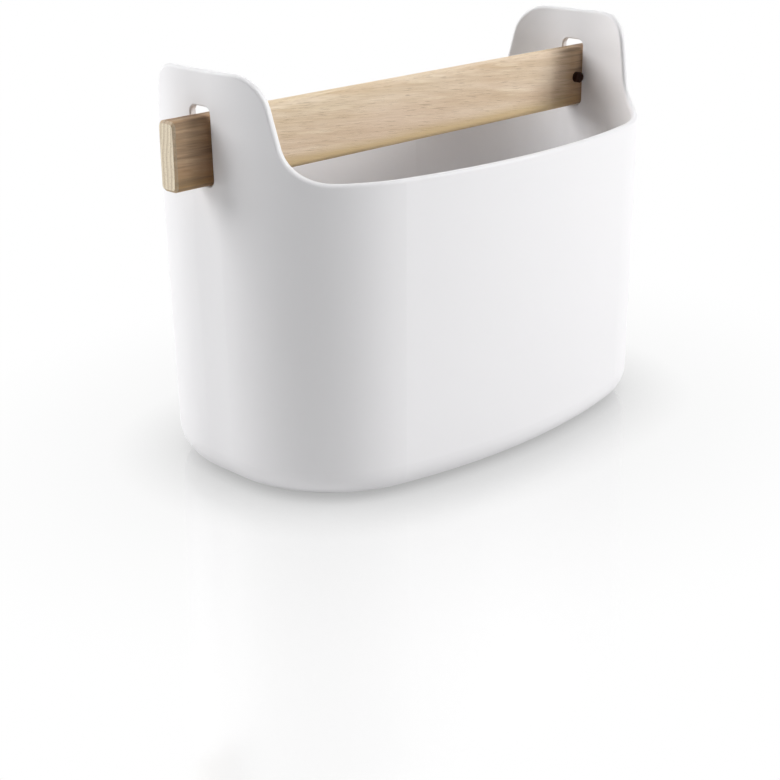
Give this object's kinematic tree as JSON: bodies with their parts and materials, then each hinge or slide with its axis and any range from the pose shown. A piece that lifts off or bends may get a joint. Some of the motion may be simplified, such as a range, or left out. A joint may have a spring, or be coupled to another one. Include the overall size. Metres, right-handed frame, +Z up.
{
  "type": "utensil holder",
  "caption": "Open oval kitchen utensil holder: a moulded plastic shell whose ends rise into slotted ears that carry a flat wooden lifting bar.",
  "frame": {"origin": "centre of the footprint, on the surface the feet stand on", "axes": "+X along the handle bar, +Y to the rear, +Z up out of the open mouth"},
  "size_m": [0.2648, 0.1506, 0.175],
  "materials": {
    "shell": "fine satin moulded white",
    "bar": "oiled light oak, sanded",
    "pin": "dark satin",
    "foot": "soft matt silicone"
  },
  "bodies": {
    "holder": {"container": "shell", "foot_front_left": "foot", "foot_front_right": "foot", "foot_rear_left": "foot", "foot_rear_right": "foot"},
    "handle": {"handle_bar": "bar", "stop_pin_left": "pin", "stop_pin_right": "pin"}
  },
  "joints": [
    {"name": "handle_lift", "type": "slide", "parent": "holder", "child": "handle", "axis": [0, 0, 1], "range_m": [0, 0.0033]}
  ]
}
